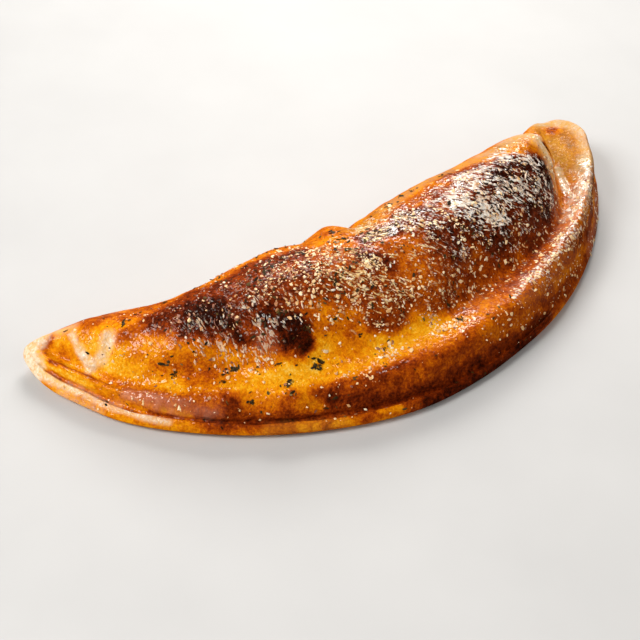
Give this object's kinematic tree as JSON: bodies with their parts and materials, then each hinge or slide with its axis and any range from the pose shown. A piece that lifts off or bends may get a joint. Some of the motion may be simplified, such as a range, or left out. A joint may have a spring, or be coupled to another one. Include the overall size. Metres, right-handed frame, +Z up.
{
  "type": "calzone",
  "caption": "Baked calzone: a plump half-moon of folded pizza dough with a sealed, rolled front edge, dusted with grated cheese and dried herbs.",
  "frame": {"origin": "middle of the bounding box on the flat underside", "axes": "+X along the half-moon's length, +Y towards the folded back edge, +Z up; the curved sealed edge faces -Y"},
  "size_m": [0.3316, 0.1258, 0.0494],
  "materials": {
    "crust": "baked dough, golden to dark brown, with a thin coat of melted butter",
    "grated_cheese": "dry grated hard cheese, pale cream",
    "herbs": "dried dark green herb flakes"
  },
  "bodies": {
    "root": {"calzone": "crust"}
  },
  "joints": []
}
